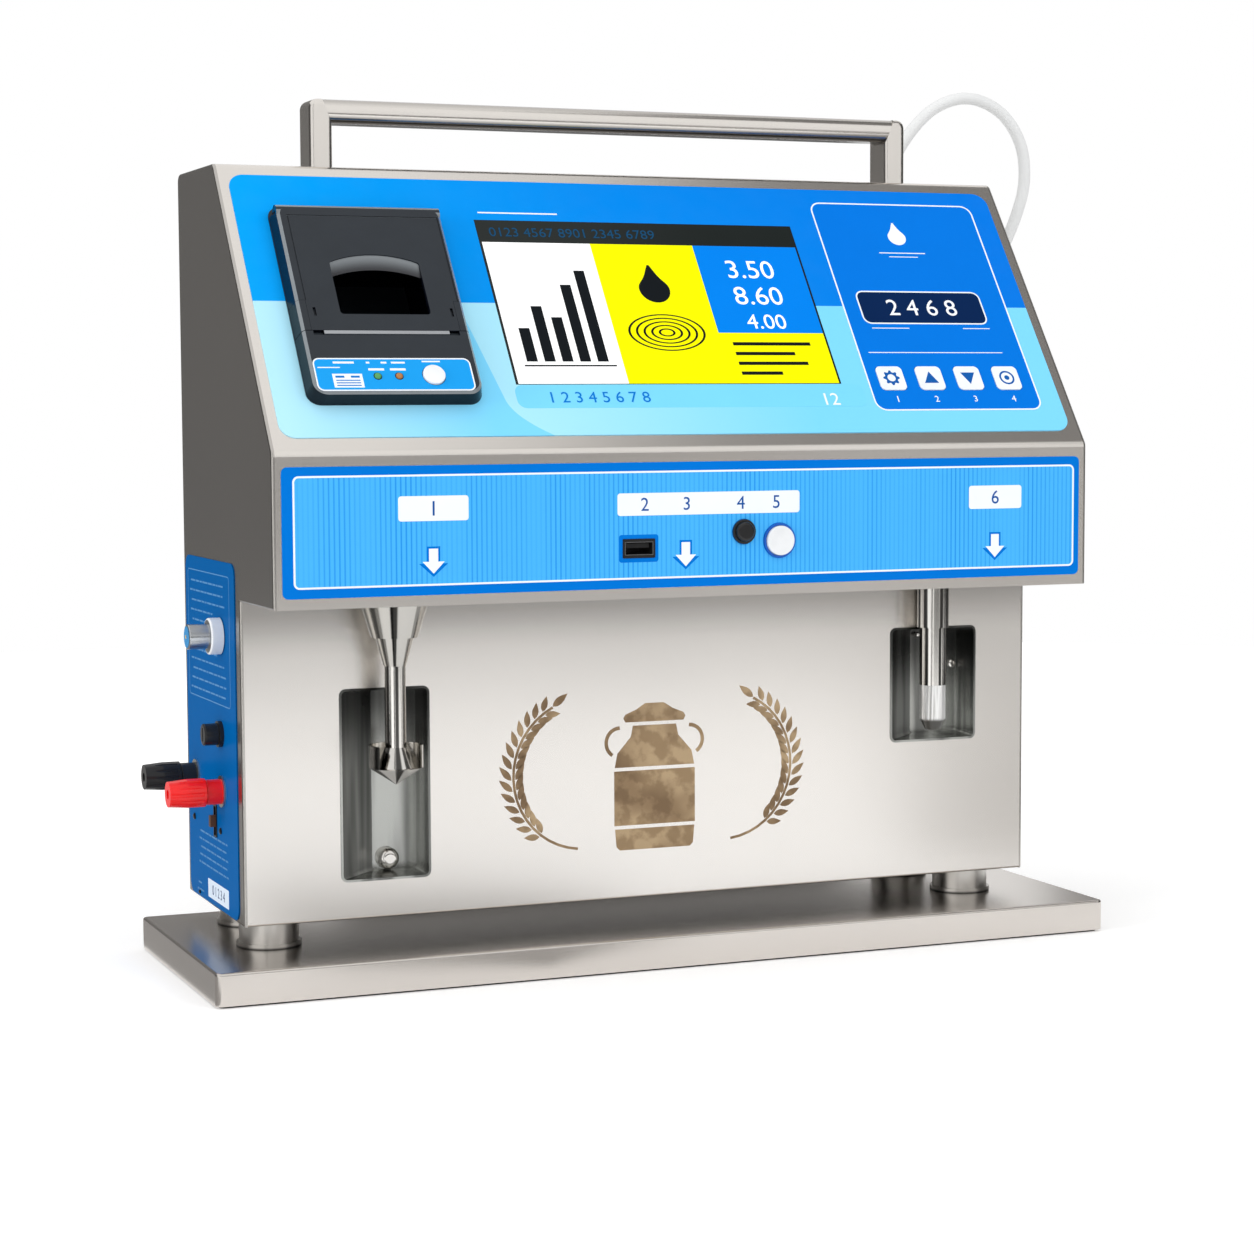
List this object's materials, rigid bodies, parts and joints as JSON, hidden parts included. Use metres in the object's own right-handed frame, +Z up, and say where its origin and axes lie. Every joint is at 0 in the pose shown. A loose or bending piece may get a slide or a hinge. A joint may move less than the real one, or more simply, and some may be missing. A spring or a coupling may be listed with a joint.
{
  "type": "milk analyzer",
  "caption": "Bench milk analyzer: steel cabinet with sloping console, screen, keys, panel printer, sample pipe, probe and carrying handle, on a base plate",
  "frame": {"origin": "centre of the base plate's resting face", "axes": "+X to the instrument's right seen from the front, +Y to its back, +Z up"},
  "size_m": [0.4752, 0.1758, 0.4065],
  "materials": {
    "brushed_steel_sheet": "brushed, satin",
    "polished_steel": "polished",
    "cast_metal": "machined",
    "rubber_mat": "matt",
    "blue_film": "printed polyester film, satin",
    "side_film": "printed polyester film, gloss",
    "screen": "glass screen",
    "circuit_board": "solder mask",
    "key_white": "satin",
    "printer_black": "fine texture",
    "button_black": "satin",
    "button_white": "gloss",
    "blue_plastic": "gloss",
    "red_plastic": "gloss",
    "paper": "matt paper",
    "soft_black": "matt",
    "clear_glass": "clear",
    "silicone_white": "smooth, milky"
  },
  "bodies": {
    "housing": {"base_plate": "brushed_steel_sheet", "base_mat": "rubber_mat", "standoffs": "polished_steel", "left_side_panel": "brushed_steel_sheet", "right_side_panel": "brushed_steel_sheet", "cabinet_front": "brushed_steel_sheet", "console_shell": "brushed_steel_sheet", "console_underside": "brushed_steel_sheet", "bottom_plate": "brushed_steel_sheet", "rear_cover": "brushed_steel_sheet", "screws": "polished_steel", "left_pocket": "brushed_steel_sheet", "right_pocket": "brushed_steel_sheet", "drain_fitting": "polished_steel", "slope_overlay": "blue_film", "band_overlay": "blue_film", "side_overlay": "side_film", "lcd_module": "screen", "main_board": "circuit_board", "key_board": "circuit_board", "printer_base": "printer_black", "print_head": "cast_metal", "printer_lights": "blue_plastic", "usb_socket": "button_black", "button_switches": "blue_plastic", "funnel": "polished_steel", "sample_pipe": "polished_steel", "probe_tube": "polished_steel", "probe_cup": "clear_glass", "handle": "brushed_steel_sheet", "fuse_holder": "button_black", "red_post_base": "red_plastic", "black_post_base": "button_black", "side_controls": "button_black", "power_supply": "cast_metal", "pump_motor": "cast_metal", "pump_head": "button_white", "sensor_block": "cast_metal", "inner_tube": "silicone_white", "mains_inlet": "button_black", "hose_fittings": "polished_steel", "loop_hose": "silicone_white"},
    "lid": {"printer_lid": "printer_black", "lid_hinge_pin": "polished_steel"},
    "platen": {"platen_roller": "soft_black"},
    "roll": {"paper_roll": "paper"},
    "feed_button": {"feed_button": "button_white"},
    "menu_key": {"menu_key": "key_white"},
    "up_key": {"up_key": "key_white"},
    "down_key": {"down_key": "key_white"},
    "enter_key": {"enter_key": "key_white"},
    "pump_button": {"pump_button": "button_black"},
    "stop_button": {"stop_button": "button_white"},
    "dial": {"dial_knob": "button_white"},
    "fuse_cap": {"fuse_cap": "button_black"},
    "red_cap": {"red_post_cap": "red_plastic"},
    "black_cap": {"black_post_cap": "button_black"},
    "slider": {"slide_knob": "button_black"},
    "rotor": {"pump_rotor": "button_black"},
    "rocker": {"power_switch": "button_black"}
  },
  "joints": [
    {"name": "lid_hinge", "type": "hinge", "parent": "housing", "child": "lid", "pos_m": [-0.1332, -0.01929, 0.33101], "axis": [-1, 0, 0], "range_deg": [0, 100]},
    {"name": "platen_spin", "type": "hinge", "parent": "lid", "child": "platen", "pos_m": [-0.1332, -0.04774, 0.27773], "axis": [1, 0, 0], "continuous": true},
    {"name": "roll_spin", "type": "hinge", "parent": "housing", "child": "roll", "pos_m": [-0.1332, -0.02316, 0.26966], "axis": [1, 0, 0], "continuous": true},
    {"name": "feed_press", "type": "slide", "parent": "housing", "child": "feed_button", "axis": [0, 0.807, -0.5905], "range_m": [0, 0.0008], "stiffness_N_per_m": 400},
    {"name": "menu_key_press", "type": "slide", "parent": "housing", "child": "menu_key", "axis": [0, 0.807, -0.5905], "range_m": [0, 0.0004], "stiffness_N_per_m": 400},
    {"name": "up_key_press", "type": "slide", "parent": "housing", "child": "up_key", "axis": [0, 0.807, -0.5905], "range_m": [0, 0.0004], "stiffness_N_per_m": 400},
    {"name": "down_key_press", "type": "slide", "parent": "housing", "child": "down_key", "axis": [0, 0.807, -0.5905], "range_m": [0, 0.0004], "stiffness_N_per_m": 400},
    {"name": "enter_key_press", "type": "slide", "parent": "housing", "child": "enter_key", "axis": [0, 0.807, -0.5905], "range_m": [0, 0.0004], "stiffness_N_per_m": 400},
    {"name": "pump_press", "type": "slide", "parent": "housing", "child": "pump_button", "axis": [0, 1, 0], "range_m": [0, 0.0016], "stiffness_N_per_m": 400},
    {"name": "stop_press", "type": "slide", "parent": "housing", "child": "stop_button", "axis": [0, 1, 0], "range_m": [0, 0.0016], "stiffness_N_per_m": 400},
    {"name": "dial_turn", "type": "hinge", "parent": "housing", "child": "dial", "pos_m": [-0.2, 0, 0.1492], "axis": [-1, 0, 0], "range_deg": [-150, 150]},
    {"name": "fuse_turn", "type": "hinge", "parent": "housing", "child": "fuse_cap", "pos_m": [-0.195, 0.002, 0.106], "axis": [-1, 0, 0], "range_deg": [0, 90]},
    {"name": "red_cap_turn", "type": "hinge", "parent": "housing", "child": "red_cap", "pos_m": [-0.205, 0.0015, 0.0807], "axis": [-1, 0, 0], "range_deg": [0, 900]},
    {"name": "black_cap_turn", "type": "hinge", "parent": "housing", "child": "black_cap", "pos_m": [-0.205, 0.0487, 0.0824], "axis": [-1, 0, 0], "range_deg": [0, 900]},
    {"name": "slider_shift", "type": "slide", "parent": "housing", "child": "slider", "axis": [0, 0, 1], "range_m": [-0.0038, 0.0038]},
    {"name": "rotor_spin", "type": "hinge", "parent": "housing", "child": "rotor", "pos_m": [-0.06, -0.001, 0.11], "axis": [0, 1, 0], "continuous": true},
    {"name": "rocker_tip", "type": "hinge", "parent": "housing", "child": "rocker", "pos_m": [-0.108, 0.065, 0.07], "axis": [1, 0, 0], "range_deg": [-16, 0]}
  ]
}
